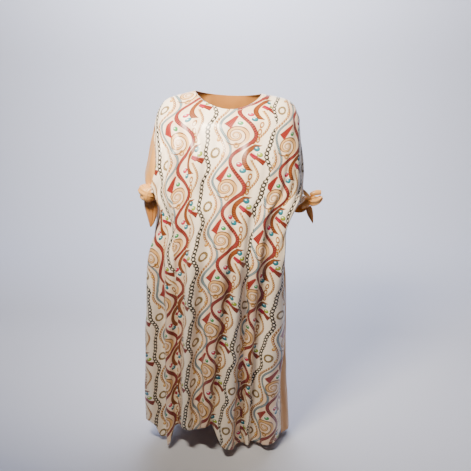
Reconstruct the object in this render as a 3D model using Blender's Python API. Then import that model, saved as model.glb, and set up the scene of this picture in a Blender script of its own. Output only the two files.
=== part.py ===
"""A grand boubou: a wide, floor-length robe of two satin panels, with a boat neck, open sides and sleeves that
are knotted at the elbow with ties of the back panel's tan cloth. Blender 4.5, metres, +Z up. The origin is
the middle of the shoulder line, where the wearer holds the robe up. The front looks along -Y, and +X is on
the right of someone who faces the robe.

Each panel is a flat pattern piece, and a point on it has a distance `across` from the piece's centre line.
At each height the robe follows a rounded ring. The cloth that is wider than its stretch of the ring goes
into upright folds, and their depth is solved from that surplus.
"""

import math

import bmesh
import bpy
import numpy as np
from mathutils import Vector
from mathutils.bvhtree import BVHTree

# ---------------------------------------------------------------- driving sizes, in metres
WALL = 0.0015  # satin and its turned edges, as a solid wall
SEAM_GAP = 0.0004  # between two panels along a seam
SEAT_GAP = 0.0003  # between a tie and what it lies on

NECK_HALF_WIDTH = 0.1225
CUFF_HALF_WIDTH = 0.415  # of the flat piece, at the sleeve's end
HEM_HALF_WIDTH = 0.54  # of the flat piece
FULL_SECTION = -0.11  # the height below which the robe goes all the way round
CHEST, CUFF, LOW = -0.28, -0.47, -1.15  # the heights that the fold tables speak of

COLUMNS = 60
ROWS_DOWN = (
    0, 0.0015, 0.006, 0.014, 0.027, 0.045, 0.070, 0.10, 0.14, 0.18, 0.22, 0.26, 0.30,
    0.34, 0.38, 0.43, 0.49, 0.56, 0.64, 0.73, 0.82, 0.90, 0.955, 1,
)  # fmt: skip

# ---------------------------------------------------------------- tables
# How far the ring reaches from the origin, at each height.
RING_COLUMNS = ("height", "left", "right", "front", "back", "squareness")
RING = (
    (0.02, 0.225, 0.225, 0.070, 0.050, 2.3),
    (-0.03, 0.250, 0.247, 0.090, 0.070, 2.3),
    (-0.06, 0.262, 0.256, 0.108, 0.085, 2.3),
    (-0.11, 0.274, 0.266, 0.135, 0.102, 2.4),
    (-0.25, 0.298, 0.278, 0.166, 0.118, 2.4),
    (-0.34, 0.302, 0.284, 0.178, 0.122, 2.4),
    (-0.40, 0.272, 0.284, 0.182, 0.122, 2.3),
    (-0.47, 0.257, 0.264, 0.182, 0.122, 2.2),
    (-0.56, 0.268, 0.244, 0.178, 0.122, 2.2),
    (-0.70, 0.292, 0.222, 0.160, 0.118, 2.2),
    (-0.83, 0.312, 0.212, 0.142, 0.116, 2.2),
    (-0.95, 0.322, 0.210, 0.126, 0.118, 2.2),
    (-1.20, 0.318, 0.216, 0.108, 0.124, 2.2),
    (-1.38, 0.310, 0.226, 0.098, 0.130, 2.2),
    (-1.47, 0.306, 0.230, 0.094, 0.132, 2.2),
)

# The seam from the neck over the shoulder and down the arm: the flat piece's half width there, the seam's
# distance from the middle, and its height on each side. Past FULL_SECTION the seam lies on the ring.
SEAM_COLUMNS = ("across", "reach", "left_height", "right_height")
SEAM = (
    (0.1225, 0.1225, 0.006, -0.006),
    (0.175, 0.175, -0.007, -0.015),
    (0.215, 0.214, -0.019, -0.025),
    (0.240, 0.238, -0.034, -0.038),
    (0.258, 0.255, -0.060, -0.062),
    (0.280, 0.270, -0.110, -0.110),
    (0.320, 0.270, -0.185, -0.195),
    (0.365, 0.270, -0.270, -0.300),
    (0.415, 0.270, -0.368, -0.425),
)

# Where the panels end, in degrees round from the middle of the front: the seam over the arm, down to the tie,
# and the side seam from -0.78. Between them the side is open, and each panel stops short of that line.
EDGE_COLUMNS = (
    "height", "left", "left_front_open", "left_back_open", "right", "right_front_open", "right_back_open",
)  # fmt: skip
EDGES = (
    (0.02, -90, 0, 0, 90, 0, 0),
    (-0.11, -90, 0, 0, 90, 0, 0),
    (-0.15, -77, 0, 0, 92, 0, 0),
    (-0.20, -66, 0, 0, 94, 0, 0),
    (-0.30, -62, 0, 0, 96, 0, 0),
    (-0.368, -64, 0, 0, 97, 0, 0),
    (-0.40, -67, 1, 3, 97, 0, 0),
    (-0.425, -70, 2, 5, 97, 3, 0),
    (-0.44, -72, 2, 6, 96, 14, 2),
    (-0.46, -74, 3, 7, 95, 25, 5),
    (-0.50, -78, 3, 10, 93, 27, 10),
    (-0.56, -83, 3, 11, 89, 21, 14),
    (-0.66, -89, 3, 9, 87, 13, 14),
    (-0.74, -92, 1, 4, 86, 6, 6),
    (-0.78, -93, 0, 0, 86, 0, 0),
    (-0.95, -94, 0, 0, 86, 0, 0),
    (-1.47, -95, 0, 0, 86, 0, 0),
)

# The fold lines of each half panel, from its middle outwards, by turns a ridge and a valley: their bearings in
# degrees at the chest, at the cuffs and low on the robe, and the spare cloth in millimetres from each line to
# the next. The stretch from the last line to the edge has what cloth is left.
FOLD_COLUMNS = ("chest", "cuff", "low", "chest_spare", "cuff_spare", "low_spare")
FOLDS = {
    "front_left": (
        (1, -1, -12, 3, 8, 20),
        (-10, -12, -21.5, 3, 10, 26),
        (-18, -20, -28, 8, 17, 24),
        (-29, -31, -40, 8, 17, 24),
        (-37, -39, -46, 9, 18, 32),
        (-46, -48, -57, 9, 23, 36),
        (-54, -56, -76, 0, 0, 0),
    ),
    "front_right": (
        (1, -1, -12, 2, 8, 24),
        (5, 3.5, -7, 2, 8, 16),
        (10, 9, 0.5, 6, 14, 48),
        (18.4, 17, 12.5, 8, 14, 14),
        (27, 25, 19, 5, 14, 25),
        (36, 33, 24, 5, 16, 30),
        (55, 47, 41, 0, 0, 0),
    ),
    "back_right": (
        (180, 180, 180, 4, 10, 26),
        (170, 170, 168, 4, 10, 28),
        (160, 160, 156, 8, 14, 36),
        (150, 150, 143, 8, 14, 30),
        (140, 140, 131, 8, 14, 30),
        (129, 129, 118, 8, 14, 30),
        (116, 115, 103, 0, 0, 0),
    ),
    "back_left": (
        (180, 180, 180, 3, 8, 20),
        (190, 190, 190, 4, 10, 24),
        (198, 198, 199, 8, 14, 30),
        (209, 208, 211, 8, 14, 28),
        (219, 218, 222, 8, 14, 34),
        (231, 230, 235, 8, 14, 30),
        (246, 245, 249, 0, 0, 0),
    ),
}

# How far a fold's side may turn from the ring, in degrees. At the cuffs the ties gather the cloth in tucks.
TURN_COLUMNS = ("height", "turn")
TURNS = (
    (-0.10, 50),
    (-0.28, 38),
    (-0.38, 27),
    (-0.50, 31),
    (-0.64, 50),
    (-0.85, 68),
    (-1.47, 76),
)
EDGE_TURN = 44  # the same in the stretch beside the edge

# The hem's height by share of the half width. In front it is lifted over the foot, left of the middle.
HEM_COLUMNS = ("share", "height")
FRONT_HEM = (
    (-1.00, -1.375),
    (-0.86, -1.376),
    (-0.75, -1.364),
    (-0.71, -1.382),
    (-0.65, -1.445),
    (-0.49, -1.448),
    (-0.41, -1.368),
    (-0.26, -1.340),
    (-0.14, -1.364),
    (0.02, -1.318),
    (0.08, -1.326),
    (0.15, -1.398),
    (0.24, -1.422),
    (0.36, -1.446),
    (0.60, -1.446),
    (0.76, -1.430),
    (1.00, -1.420),
)
BACK_HEM = (
    (-1.00, -1.420),
    (-0.50, -1.445),
    (0.00, -1.450),
    (0.50, -1.440),
    (1.00, -1.375),
)


# The knots: the middle, the half sizes, and the way each is pushed until it rests on the sleeve.
KNOTS = {
    "left_tie_knot": ((-0.300, -0.074, -0.362), (0.031, 0.027, 0.034), (-1, -0.1, 0)),
    "right_tie_knot": ((0.292, 0.004, -0.426), (0.021, 0.022, 0.025), (1, 0, 0)),
}
# Where the tie's turns press into each other on a knot: planes through it, by direction and offset.
KNOT_FURROWS = (
    ((0.30, -0.25, 0.92), 0.42),
    ((0.55, -0.20, -0.81), 0.38),
    ((0.90, 0.30, 0.32), 0.45),
)
FURROW_DEPTH, FURROW_HALF_WIDTH = 0.11, 0.16  # shares of the knot's size

# The tails, from the knot to the tip: folded strips whose two edges curl back.
TAIL_COLUMNS = ("x", "y", "z", "width", "thickness", "curl")
TAILS = {
    "left_tie_tail": (
        (-0.304, -0.062, -0.398, 0.022, 0.016, 0.000),
        (-0.300, -0.056, -0.408, 0.040, 0.014, 0.004),
        (-0.297, -0.050, -0.425, 0.053, 0.012, 0.007),
        (-0.296, -0.045, -0.450, 0.050, 0.011, 0.007),
        (-0.297, -0.042, -0.475, 0.036, 0.010, 0.006),
        (-0.298, -0.040, -0.496, 0.020, 0.008, 0.003),
        (-0.299, -0.040, -0.510, 0.006, 0.005, 0.000),
    ),
    "right_tie_tail_side": (
        (0.322, 0.004, -0.415, 0.024, 0.016, 0.000),
        (0.330, 0.003, -0.412, 0.044, 0.015, 0.004),
        (0.341, 0.001, -0.409, 0.062, 0.015, 0.008),
        (0.353, 0.000, -0.409, 0.071, 0.015, 0.010),
        (0.364, 0.000, -0.412, 0.070, 0.014, 0.010),
    ),
    "right_tie_tail_down": (
        (0.312, 0.003, -0.446, 0.018, 0.014, 0.000),
        (0.316, 0.003, -0.456, 0.028, 0.012, 0.004),
        (0.322, 0.003, -0.470, 0.027, 0.010, 0.005),
        (0.327, 0.003, -0.487, 0.018, 0.008, 0.003),
        (0.332, 0.003, -0.505, 0.006, 0.005, 0.000),
    ),
}
# What each tail rests on, and the way that it's pushed until it does, one step after another.
TAIL_SEATS = {
    "left_tie_tail": (
        (("left_tie_knot",), (0, 0.3, -1)),
        (("left_tie_knot", "front_panel", "back_panel"), (-1, 0.2, 0)),
    ),
    "right_tie_tail_side": ((("right_tie_knot",), (1, 0, 0.1)),),
    "right_tie_tail_down": ((("right_tie_knot", "right_tie_tail_side"), (0.1, 0, -1)),),
}


# ---------------------------------------------------------------- the shape of the cloth
def read(table, names, column, at):
    """A column's value where the first column is `at`, on a smooth curve that keeps between the rows."""
    rows = np.array(table)
    if rows[0, 0] > rows[-1, 0]:
        rows = rows[::-1]
    key, value = rows[:, 0], rows[:, names.index(column)]
    step = np.diff(key)
    rise = np.diff(value) / step
    same_way = rise[1:] * rise[:-1] > 0
    slope = np.zeros(len(key))
    slope[0], slope[-1] = rise[0], rise[-1]
    slope[1:-1] = np.where(same_way, 2 * rise[1:] * rise[:-1] / np.where(same_way, rise[1:] + rise[:-1], 1), 0)
    at = np.clip(at, key[0], key[-1])
    i = np.clip(np.searchsorted(key, at, side="right") - 1, 0, len(step) - 1)
    t = (at - key[i]) / step[i]
    ends = value[i] * (1 + 2 * t) * (1 - t) ** 2 + value[i + 1] * t * t * (3 - 2 * t)
    return ends + step[i] * t * (1 - t) * (slope[i] * (1 - t) - slope[i + 1] * t)


def fold_weights(height):
    """How much of the chest's, the cuffs' and the low column of a fold table holds at a height."""
    low = np.clip((CUFF - height) / (CUFF - LOW), 0, 1.3)
    up = np.clip((height - CUFF) / (CHEST - CUFF), 0, 1)
    return np.array([up, 1 - up - low, low])


# The seam's height by distance across, fine enough to be read both ways.
SEAM_ACROSS = np.linspace(NECK_HALF_WIDTH, CUFF_HALF_WIDTH, 600)
SEAM_HEIGHTS = {
    side: np.array([read(SEAM, SEAM_COLUMNS, side + "_height", across) for across in SEAM_ACROSS])
    for side in ("left", "right")
}

HALF_SAMPLES = 161  # across half a panel
LEVEL_STEP = 0.005
LEVELS = np.arange(0.02, -1.50, -LEVEL_STEP)
SETTLING = 4  # levels

# A fold's side turns away from the ring by angle * sin(pi * s), with s from 0 at one line to 1 at the next. It
# then covers this share of its own length.
SLOPES = np.radians(np.linspace(0, 90, 61))
SLOPE_RATIOS = np.array([np.cos(slope * np.sin(np.linspace(0, math.pi, 181))).mean() for slope in SLOPES])


class Panel:
    """One cloth panel. Its `across` runs from its edge at `from_side` to its edge at `to_side`."""

    def __init__(self, face, from_side, to_side, hem, neck_depth, neck_drop):
        self.face, self.sides, self.hem = face, (from_side, to_side), hem
        self.neck_depth, self.neck_drop = neck_depth, neck_drop
        self.outward = -1 if face == "front" else 1
        self.cloth = self.drape()

    def side_of(self, across):
        return self.sides[0] if across < 0 else self.sides[1]

    def hem_height(self, share):
        return float(read(self.hem, HEM_COLUMNS, "height", share))

    def half_width(self, side, height):
        """The flat piece's half width on one side, where that side's edge is at the height."""
        cuff = SEAM_HEIGHTS[side][-1]
        if height >= cuff:
            return float(np.interp(height, SEAM_HEIGHTS[side][::-1], SEAM_ACROSS[::-1]))
        hem = self.hem_height(-1 if side == self.sides[0] else 1)
        return CUFF_HALF_WIDTH + (HEM_HALF_WIDTH - CUFF_HALF_WIDTH) * (height - cuff) / (hem - cuff)

    def edge_bearing(self, side, height):
        seam = float(read(EDGES, EDGE_COLUMNS, side, height))
        opened = float(read(EDGES, EDGE_COLUMNS, f"{side}_{self.face}_open", height))
        return seam + opened * (1 if (side == "left") == (self.face == "front") else -1)

    def path(self, height):
        """This panel's stretch of the ring: points, outward directions and distances along it."""
        start, end = (self.edge_bearing(side, height) for side in self.sides)
        if self.face == "back":
            end += 360
        bearing = np.radians(np.linspace(start, end, 241))
        sine, cosine = np.sin(bearing), np.cos(bearing)
        left, right, front, back, squareness = (
            float(read(RING, RING_COLUMNS, name, height)) for name in RING_COLUMNS[1:]
        )
        power = 2 / squareness
        x = np.where(sine < 0, left, right) * np.sign(sine) * np.abs(sine) ** power
        y = -np.where(cosine > 0, front, back) * np.sign(cosine) * np.abs(cosine) ** power
        points = np.stack([x, y], axis=1)
        along = np.concatenate([[0], np.cumsum(np.linalg.norm(np.diff(points, axis=0), axis=1))])
        tangent = np.gradient(points, along, axis=0)
        tangent /= np.linalg.norm(tangent, axis=1)[:, None]
        outward = np.stack([tangent[:, 1], -tangent[:, 0]], axis=1)
        return points, outward, along, np.degrees(bearing)

    def half_section(self, side, height, path):
        """Outwards from the middle: the distance along the path and standing out, and where the middle is."""
        _, _, along, bearing = path
        wide = self.half_width(side, min(height, FULL_SECTION))
        weight = fold_weights(height)
        folds = np.array(FOLDS[f"{self.face}_{side}"], float)
        lines = np.interp(folds[:, :3] @ weight, bearing, along)
        edge = along[-1] - SEAM_GAP / 2 if side == self.sides[1] else SEAM_GAP / 2
        middle = lines[0]
        room = abs(edge - middle)
        base = np.diff(np.minimum(np.abs(np.append(lines, edge) - middle), room))
        surplus = max(wide - room, 0)
        spare = folds[:, 3:] @ weight / 1000
        spare *= min(1, 0.85 * surplus / spare.sum())
        spare[-1] = surplus - spare.sum()
        cloth = base + spare
        steepest = math.radians(read(TURNS, TURN_COLUMNS, "turn", height))
        steepness = np.minimum(np.interp(base / cloth, SLOPE_RATIOS[::-1], SLOPES[::-1]), steepest)
        steepness[-1] = min(steepness[-1], math.radians(EDGE_TURN))
        cloth *= wide / cloth.sum()
        squeeze = base / cloth / np.interp(steepness, SLOPES, SLOPE_RATIOS)
        ends = np.concatenate([[0], np.cumsum(cloth)])
        across = np.linspace(0, wide, HALF_SAMPLES)
        centre = (across[1:] + across[:-1]) / 2
        line = np.clip(np.searchsorted(ends, centre, side="right") - 1, 0, len(cloth) - 1)
        between = (centre - ends[line]) / cloth[line]
        turn = steepness[line] * np.sin(math.pi * between) * np.where(line % 2, 1, -1)
        forward = np.concatenate([[0], np.cumsum(np.cos(turn) * squeeze[line])])
        out = np.concatenate([[0], np.cumsum(np.sin(turn))]) * across[1]
        return forward * room / forward[-1], out, middle

    def section(self, height):
        """World x and y round the whole panel at a height, at even shares of its two half widths."""
        path = self.path(height)
        points, outward, along, _ = path
        halves = [self.half_section(side, height, path) for side in self.sides]
        ridge = -(halves[0][1][-1] + halves[1][1][-1]) / 2
        share = np.linspace(0, 1, HALF_SAMPLES)
        spots = []
        for sign, (forward, out, middle) in zip((-1, 1), halves):
            at, stand = middle + sign * forward, ridge + out - (ridge + out[-1]) * share
            spot = [np.interp(at, along, points[:, axis]) for axis in (0, 1)]
            away = [np.interp(at, along, outward[:, axis]) for axis in (0, 1)]
            spots.append((np.stack(spot, axis=1) + stand[:, None] * np.stack(away, axis=1))[::sign])
        return np.concatenate([spots[0][:-1], spots[1]])

    def drape(self):
        """The sections at every level, settled into each other so that folds grow and turn over some height."""
        sections = np.array([self.section(level) for level in LEVELS])
        reach = 3 * SETTLING
        weights = np.exp(-((np.arange(-reach, reach + 1) / SETTLING) ** 2) / 2)
        padded = np.concatenate([sections[:1]] * reach + [sections] + [sections[-1:]] * reach)
        return sum(weight * padded[i : i + len(sections)] for i, weight in enumerate(weights)) / weights.sum()

    def draped(self, across, height):
        """World x and y of the cloth at this distance across, where the robe goes all the way round."""
        share = across / self.half_width(self.side_of(across), min(height, FULL_SECTION))
        column = (np.clip(share, -1, 1) + 1) * (HALF_SAMPLES - 1)
        level = np.clip((LEVELS[0] - height) / LEVEL_STEP, 0, len(LEVELS) - 1)
        i, j = min(int(level), len(LEVELS) - 2), min(int(column), 2 * HALF_SAMPLES - 3)
        down, over = level - i, column - j
        upper = self.cloth[i, j] * (1 - over) + self.cloth[i, j + 1] * over
        lower = self.cloth[i + 1, j] * (1 - over) + self.cloth[i + 1, j + 1] * over
        return upper * (1 - down) + lower * down

    def top_edge(self, across):
        """World x, y and z of the neckline or the seam."""
        side = self.side_of(across)
        sign = -1 if side == "left" else 1
        reach = abs(across)
        if reach <= NECK_HALF_WIDTH:
            dip = (1 - (reach / NECK_HALF_WIDTH) ** 2) ** 0.75
            left, right = (SEAM[0][SEAM_COLUMNS.index(name)] for name in ("left_height", "right_height"))
            tilt = (sign * reach / NECK_HALF_WIDTH + 1) / 2
            height = left + (right - left) * tilt - self.neck_drop * dip
            return sign * reach, self.outward * (self.neck_depth * dip + SEAM_GAP / 2), height
        height = float(np.interp(reach, SEAM_ACROSS, SEAM_HEIGHTS[side]))
        if height <= FULL_SECTION:
            return (*self.draped(across, height), height)
        at_ring = float(read(RING, RING_COLUMNS, side, FULL_SECTION)) / float(
            read(SEAM, SEAM_COLUMNS, "reach", self.half_width(side, FULL_SECTION))
        )
        ease = np.interp(reach, (NECK_HALF_WIDTH, self.half_width(side, FULL_SECTION)), (1, at_ring))
        x = sign * float(read(SEAM, SEAM_COLUMNS, "reach", reach)) * ease
        return x, self.outward * SEAM_GAP / 2, height

    def place(self, share, row):
        """World position of a point of the panel, by its share of the half width and its row."""
        top_across = share * CUFF_HALF_WIDTH
        even = np.interp(abs(top_across), (0.225, 0.30), (0, 1))
        down = ROWS_DOWN[row] + (row / (len(ROWS_DOWN) - 1) - ROWS_DOWN[row]) * even
        x, y, top = self.top_edge(top_across)
        height = top + (self.hem_height(share) - top) * down
        across = top_across + (share * HEM_HALF_WIDTH - top_across) * down
        if row == 0:
            return x, y, top
        if height <= FULL_SECTION:
            return (*self.draped(across, height), height)
        # Over the shoulder the cloth starts level at the seam and turns down; at the neck it starts sloping.
        fallen = (top - height) / (top - FULL_SECTION)
        level = math.sqrt(fallen * (2 - fallen))
        sloping = fallen * (2 - fallen)
        shoulder = min(abs(top_across) / NECK_HALF_WIDTH, 1)
        gone = sloping + (level - sloping) * shoulder
        ring = self.draped(across, height)
        return x + (ring[0] - x) * gone, y + (ring[1] - y) * gone, height

    def seam_outward(self, share, row):
        """The way out of the robe at a seam, the same for both of its panels, or None off the seams."""
        across = abs(share) * CUFF_HALF_WIDTH
        side = self.side_of(share)
        if row > 0 and abs(share) < 0.999 or across < NECK_HALF_WIDTH:
            return None
        x, y, height = self.place(share, row)
        if height > FULL_SECTION:
            column = SEAM_COLUMNS.index(side + "_height")
            run = [read(SEAM, SEAM_COLUMNS, name, across + 0.002) for name in ("reach", side + "_height")]
            back = [read(SEAM, SEAM_COLUMNS, name, across - 0.002) for name in ("reach", side + "_height")]
            along = Vector((run[0] - back[0], 0, run[1] - back[1])).normalized()
            return Vector((-along.z * (-1 if side == "left" else 1), 0, along.x))
        _, outward, _, _ = self.path(height)
        return Vector((*outward[0 if share < 0 else -1], 0))


FRONT = Panel("front", "left", "right", FRONT_HEM, neck_depth=0.088, neck_drop=0.055)
BACK = Panel("back", "right", "left", BACK_HEM, neck_depth=0.058, neck_drop=0.016)


# ---------------------------------------------------------------- making objects
def material(name, colour, roughness):
    made = bpy.data.materials.new(name)
    made.use_nodes = True
    shader = made.node_tree.nodes["Principled BSDF"]
    shader.inputs["Base Color"].default_value = (*colour, 1)
    shader.inputs["Roughness"].default_value = roughness
    shader.inputs["Metallic"].default_value = 0
    return made


def finish(bm, name, cloth):
    """Makes the object, and gives it the robe's collection and its cloth."""
    bmesh.ops.recalc_face_normals(bm, faces=bm.faces)
    mesh = bpy.data.meshes.new(name)
    bm.to_mesh(mesh)
    bm.free()
    mesh.shade_smooth()
    made = bpy.data.objects.new(name, mesh)
    made.data.materials.append(cloth)
    ROBE.objects.link(made)
    return made


def make_panel(name, panel, cloth):
    """The outer face is a grid laid on the drape, and the inner one is its copy, set in by the wall."""
    bm = bmesh.new()
    last_row = len(ROWS_DOWN) - 1
    inward = bm.verts.layers.float_vector.new("inward")
    bmesh.ops.create_grid(bm, x_segments=COLUMNS, y_segments=last_row, size=1)
    spots = {vertex: (vertex.co.x, round((1 - vertex.co.y) / 2 * last_row)) for vertex in bm.verts}
    for vertex, (share, row) in spots.items():
        vertex.co = Vector(panel.place(share, row))
    if sum(face.normal.y * face.calc_area() for face in bm.faces) * panel.outward < 0:
        bmesh.ops.reverse_faces(bm, faces=bm.faces)
    bm.normal_update()
    for vertex, (share, row) in spots.items():
        vertex[inward] = -WALL * (panel.seam_outward(share, row) or vertex.normal)
    inner = bmesh.ops.extrude_face_region(bm, geom=bm.faces[:], use_keep_orig=True)
    for vertex in inner["geom"]:
        if isinstance(vertex, bmesh.types.BMVert):
            vertex.co += vertex[inward]
    return finish(bm, name, cloth)


def seat(bm, direction, resting_on):
    """Moves the piece along the direction, from inside what it rests on, until it is just clear."""
    direction = Vector(direction).normalized()
    others = []
    for made in resting_on:
        other = bmesh.new()
        other.from_mesh(made.data)
        others.append((BVHTree.FromBMesh(other), [vertex.co.copy() for vertex in other.verts]))
        other.free()

    def clear(distance):
        moved = bm.copy()
        bmesh.ops.translate(moved, vec=direction * distance, verts=moved.verts)
        tree = BVHTree.FromBMesh(moved)
        apart = True
        for other, spots in others:
            near = [other.find_nearest(vertex.co, SEAT_GAP)[0] for vertex in moved.verts]
            near += [tree.find_nearest(spot, SEAT_GAP)[0] for spot in spots]
            apart = apart and not tree.overlap(other) and not any(near)
        moved.free()
        return apart

    step, distance = 0.002, 0
    while clear(distance):
        distance -= step
    while not clear(distance):
        distance += step
    within, beyond = distance - step, distance
    while beyond - within > SEAT_GAP / 4:
        halfway = (within + beyond) / 2
        within, beyond = (within, halfway) if clear(halfway) else (halfway, beyond)
    bmesh.ops.translate(bm, vec=direction * beyond, verts=bm.verts)


def make_knot(name, cloth, resting_on):
    """A ball of cloth with furrows between the tie's turns."""
    centre, size, direction = KNOTS[name]
    bm = bmesh.new()
    bmesh.ops.create_uvsphere(bm, u_segments=18, v_segments=12, radius=1)
    for vertex in bm.verts:
        away = vertex.co.normalized()
        furrow = sum(
            math.exp(-(((away.dot(Vector(normal).normalized()) - offset) / FURROW_HALF_WIDTH) ** 2))
            for normal, offset in KNOT_FURROWS
        )
        reach = 1 - FURROW_DEPTH * min(furrow, 1.3)
        vertex.co = Vector(centre) + Vector(side * reach * half for side, half in zip(away, size))
    seat(bm, direction, resting_on)
    return finish(bm, name, cloth)


def make_tail(name, cloth, made):
    """A loft through the table's stations, closed at both ends."""
    bm = bmesh.new()
    stations = np.array(TAILS[name])
    travel = np.gradient(stations[:, :3], axis=0)
    around = np.linspace(0, 2 * math.pi, 14, endpoint=False)
    rings = []
    for (x, y, z, width, thickness, curl), heading in zip(stations, travel):
        middle, heading = Vector((x, y, z)), Vector(heading).normalized()
        sideways = heading.cross(Vector((0, 1, 0))).normalized()
        through = sideways.cross(heading)
        ring = []
        for angle in around:
            over, under = math.cos(angle), math.sin(angle)
            lifted = under * thickness / 2 + curl * (over * over - 0.5)
            ring.append(bm.verts.new(middle + sideways * (over * width / 2) + through * lifted))
        rings.append(ring)
    count = len(around)
    for ring, following in zip(rings, rings[1:]):
        for i in range(count):
            bm.faces.new((ring[i], ring[(i + 1) % count], following[(i + 1) % count], following[i]))
    for ring in (rings[0], rings[-1]):
        cap = bm.verts.new(sum((vertex.co for vertex in ring), Vector()) / count)
        for i in range(count):
            bm.faces.new((ring[i], ring[(i + 1) % count], cap))
    bmesh.ops.recalc_face_normals(bm, faces=bm.faces)
    for names, direction in TAIL_SEATS[name]:
        seat(bm, direction, [made[other] for other in names])
    return finish(bm, name, cloth)


for old in list(bpy.data.objects):
    bpy.data.objects.remove(old, do_unlink=True)
ROBE = bpy.data.collections.new("grand_boubou_robe")
bpy.context.scene.collection.children.link(ROBE)
PRINTED_SATIN = material("printed_cream_satin", (0.93, 0.86, 0.76), 0.4)
TAN_SATIN = material("tan_satin", (0.62, 0.37, 0.16), 0.35)

made = {
    "front_panel": make_panel("front_panel", FRONT, PRINTED_SATIN),
    "back_panel": make_panel("back_panel", BACK, TAN_SATIN),
}
panels = list(made.values())
for name in KNOTS:
    made[name] = make_knot(name, TAN_SATIN, panels)
for name in TAILS:
    made[name] = make_tail(name, TAN_SATIN, made)
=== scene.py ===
"""The grand boubou's looks: a printed satin front, a plain tan satin back, and sleeves knotted with tan ties.

Both panels are laid again on a drape close to the solids', on a finer grid, with soft creases added. Every
point keeps its place on the print, in metres, in the UV map `print`, so the print bends with the folds. Its
distances from the side edge and the hem are in `border`, those from the top edge and the middle in `collar`.
"""

import ast
import math

import bmesh
import bpy
import numpy as np
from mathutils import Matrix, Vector


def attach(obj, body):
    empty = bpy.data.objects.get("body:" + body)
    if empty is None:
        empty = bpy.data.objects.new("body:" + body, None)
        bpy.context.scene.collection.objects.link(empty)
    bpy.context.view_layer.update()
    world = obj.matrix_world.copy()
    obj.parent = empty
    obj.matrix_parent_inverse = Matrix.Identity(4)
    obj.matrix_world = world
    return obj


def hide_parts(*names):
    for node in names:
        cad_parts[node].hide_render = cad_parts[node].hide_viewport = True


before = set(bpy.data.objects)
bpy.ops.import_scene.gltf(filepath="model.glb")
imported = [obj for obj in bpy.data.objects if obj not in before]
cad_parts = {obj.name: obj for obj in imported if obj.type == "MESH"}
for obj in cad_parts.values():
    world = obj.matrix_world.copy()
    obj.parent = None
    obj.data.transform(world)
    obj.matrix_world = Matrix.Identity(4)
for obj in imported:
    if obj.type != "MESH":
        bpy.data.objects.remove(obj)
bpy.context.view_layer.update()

# ---------------------------------------------------------------- sizes, in metres
CLOTH = 0.0007  # satin's thickness
NECK_HALF_WIDTH = 0.1225
CUFF_HALF_WIDTH = 0.415  # of the flat piece, at the sleeve's end
HEM_HALF_WIDTH = 0.54  # of the flat piece
FLOOR = -1.471
FULL_SECTION = -0.11  # the height below which the robe goes all the way round
CHEST, CUFF, LOW = -0.28, -0.47, -1.15  # the heights that the fold tables speak of
SEAM_GAP = 0.0004
COLUMNS, ROWS = 216, 214  # of a panel's grid

# ---------------------------------------------------------------- the drape's tables, close to the solids'
# How far the ring reaches from the origin, at each height.
RING_COLUMNS = ("height", "left", "right", "front", "back", "squareness")
RING = (
    (0.02, 0.225, 0.225, 0.070, 0.050, 2.3),
    (-0.03, 0.250, 0.247, 0.090, 0.070, 2.3),
    (-0.06, 0.262, 0.256, 0.108, 0.085, 2.3),
    (-0.11, 0.274, 0.266, 0.135, 0.102, 2.4),
    (-0.25, 0.303, 0.278, 0.166, 0.118, 2.4),
    (-0.34, 0.322, 0.284, 0.178, 0.122, 2.4),
    (-0.40, 0.288, 0.284, 0.182, 0.122, 2.3),
    (-0.43, 0.272, 0.266, 0.182, 0.122, 2.2),
    (-0.46, 0.272, 0.244, 0.182, 0.122, 2.2),
    (-0.56, 0.298, 0.222, 0.178, 0.122, 2.2),
    (-0.70, 0.308, 0.204, 0.160, 0.118, 2.2),
    (-0.83, 0.308, 0.204, 0.142, 0.116, 2.2),
    (-0.95, 0.322, 0.207, 0.126, 0.118, 2.2),
    (-1.20, 0.318, 0.216, 0.108, 0.124, 2.2),
    (-1.38, 0.310, 0.226, 0.098, 0.130, 2.2),
    (-1.47, 0.306, 0.230, 0.094, 0.132, 2.2),
)
# The seam over the shoulder and the arm, by the distance across the flat piece.
SEAM_COLUMNS = ("across", "reach", "left_height", "right_height")
SEAM = (
    (0.1225, 0.1225, 0.006, -0.006),
    (0.175, 0.175, -0.007, -0.015),
    (0.215, 0.214, -0.019, -0.025),
    (0.240, 0.238, -0.034, -0.038),
    (0.258, 0.255, -0.060, -0.062),
    (0.280, 0.270, -0.110, -0.110),
    (0.320, 0.270, -0.185, -0.195),
    (0.365, 0.270, -0.270, -0.300),
    (0.415, 0.270, -0.368, -0.425),
)
# Where the panels end, in degrees round from the middle of the front, and how far each stops short of it.
EDGE_COLUMNS = (
    "height", "left", "left_front_open", "left_back_open", "right", "right_front_open", "right_back_open",
)  # fmt: skip
EDGES = (
    (0.02, -90, 0, 0, 90, 0, 0),
    (-0.11, -90, 0, 0, 90, 0, 0),
    (-0.15, -77, 0, 0, 92, 0, 0),
    (-0.20, -66, 0, 0, 94, 0, 0),
    (-0.30, -57, 0, 0, 96, 0, 0),
    (-0.368, -56, 0, 0, 97, 0, 0),
    (-0.385, -58, 1, 2, 97, 8, 0),
    (-0.40, -61, 1, 4, 97, 24, 0),
    (-0.415, -65, 2, 5, 97, 34, 0),
    (-0.435, -70, 2, 6, 96, 38, 2),
    (-0.46, -74, 3, 7, 95, 38, 5),
    (-0.50, -78, 3, 10, 94, 36, 12),
    (-0.56, -83, 3, 11, 93, 34, 16),
    (-0.66, -89, 3, 9, 94, 26, 12),
    (-0.74, -92, 1, 4, 96, 11, 4),
    (-0.78, -93, 0, 0, 97, 0, 0),
    (-0.95, -94, 0, 0, 97, 0, 0),
    (-1.05, -94, 0, 0, 93, 0, 0),
    (-1.15, -95, 0, 0, 86, 0, 0),
    (-1.30, -95, 0, 0, 81, 0, 0),
    (-1.47, -95, 0, 0, 77, 0, 0),
)
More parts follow.
